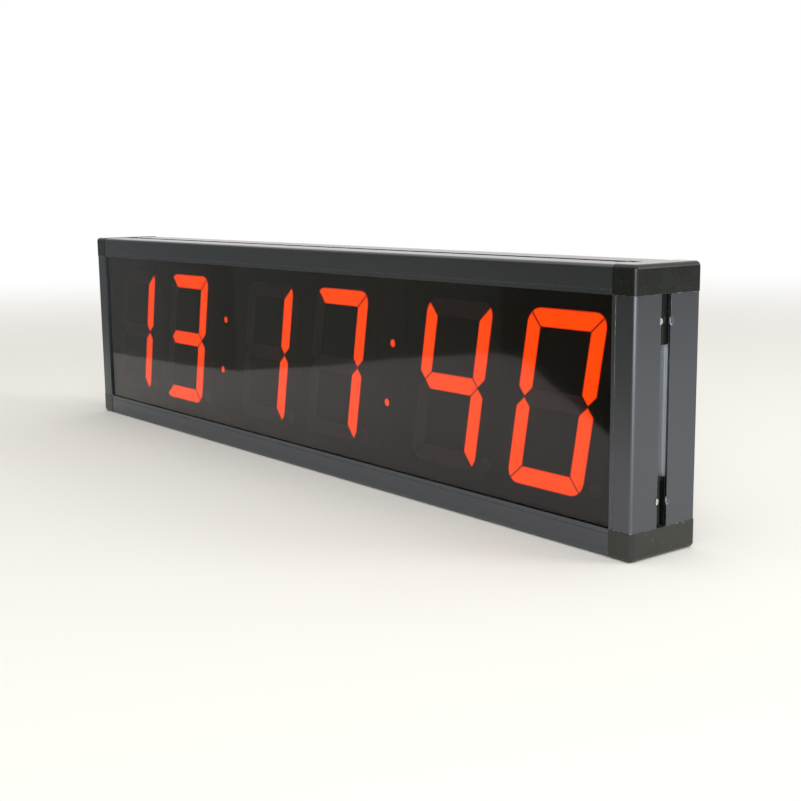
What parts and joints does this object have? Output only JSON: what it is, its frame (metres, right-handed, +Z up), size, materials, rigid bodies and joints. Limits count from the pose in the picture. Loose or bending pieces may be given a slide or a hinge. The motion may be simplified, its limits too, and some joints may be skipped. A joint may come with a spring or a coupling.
{
  "type": "digital wall clock",
  "caption": "Large LED wall clock: extruded anthracite frame with moulded corners, tinted panel, slanted seven-segment digits, rear cover with keyholes and sprung buttons.",
  "frame": {"origin": "middle of the base, on the surface that the clock stands on", "axes": "+X to the viewer's right along the long side, +Y to the back, +Z up; the display faces -Y"},
  "size_m": [0.62, 0.051, 0.154],
  "materials": {
    "frame_profile": "anthracite satin anodised",
    "corner_plastic": "fine-textured moulding",
    "tinted_panel": "polished smoke-tinted acrylic",
    "seal_foam": "closed-cell foam",
    "digit_shell": "matt black face",
    "lit_segment": "diffusing epoxy, lit red-orange",
    "dark_segment": "diffusing epoxy, unlit",
    "lit_lamp": "tinted epoxy, lit red-orange",
    "board_laminate": "green solder mask",
    "plated_metal": "tin or nickel plated",
    "brass": "turned",
    "screw_steel": "zinc plated",
    "chip_plastic": "moulded epoxy",
    "capacitor_can": "sleeved can",
    "connector_plastic": "moulded",
    "bay_plastic": "moulded, fine texture",
    "cover_sheet": "powder-coated aluminium sheet",
    "button_plastic": "moulded grey"
  },
  "bodies": {
    "case": {"backup_battery": "plated_metal", "battery_holder": "connector_plastic", "bay_screws": "screw_steel", "board_links": "connector_plastic", "board_screws": "screw_steel", "bottom_rail": "frame_profile", "capacitors": "capacitor_can", "clock_crystal": "plated_metal", "colon_lamps_1": "lit_lamp", "colon_lamps_2": "lit_lamp", "colon_strip_1": "digit_shell", "colon_strip_2": "digit_shell", "connector_bay": "bay_plastic", "corner_cap_bottom_left": "corner_plastic", "corner_cap_bottom_right": "corner_plastic", "corner_cap_top_left": "corner_plastic", "corner_cap_top_right": "corner_plastic", "cover_screws": "screw_steel", "digit_1_dark_segments": "dark_segment", "digit_1_housing": "digit_shell", "digit_1_lit_segments": "lit_segment", "digit_2_dark_segments": "dark_segment", "digit_2_housing": "digit_shell", "digit_2_lit_segments": "lit_segment", "digit_3_dark_segments": "dark_segment", "digit_3_housing": "digit_shell", "digit_3_lit_segments": "lit_segment", "digit_4_dark_segments": "dark_segment", "digit_4_housing": "digit_shell", "digit_4_lit_segments": "lit_segment", "digit_5_dark_segments": "dark_segment", "digit_5_housing": "digit_shell", "digit_5_lit_segments": "lit_segment", "digit_6_dark_segments": "dark_segment", "digit_6_housing": "digit_shell", "digit_6_lit_segments": "lit_segment", "digit_pins": "plated_metal", "display_board_hours": "board_laminate", "display_board_minutes": "board_laminate", "display_board_seconds": "board_laminate", "front_panel": "tinted_panel", "left_stile": "frame_profile", "main_board": "board_laminate", "microcontroller": "chip_plastic", "panel_seal": "seal_foam", "pin_headers": "connector_plastic", "power_inductor": "chip_plastic", "power_jack": "connector_plastic", "power_jack_pin": "plated_metal", "push_switches": "connector_plastic", "rear_cover": "cover_sheet", "right_stile": "frame_profile", "segment_drivers": "chip_plastic", "standoffs": "brass", "top_rail": "frame_profile"},
    "set_button": {"button_set": "button_plastic"},
    "up_button": {"button_up": "button_plastic"},
    "down_button": {"button_down": "button_plastic"}
  },
  "joints": [
    {"name": "set_press", "type": "slide", "parent": "case", "child": "set_button", "axis": [0, -1, 0], "range_m": [0, 0.001], "stiffness_N_per_m": 1500, "springref_m": -0.0003},
    {"name": "up_press", "type": "slide", "parent": "case", "child": "up_button", "axis": [0, -1, 0], "range_m": [0, 0.001], "stiffness_N_per_m": 1500, "springref_m": -0.0003},
    {"name": "down_press", "type": "slide", "parent": "case", "child": "down_button", "axis": [0, -1, 0], "range_m": [0, 0.001], "stiffness_N_per_m": 1500, "springref_m": -0.0003}
  ]
}
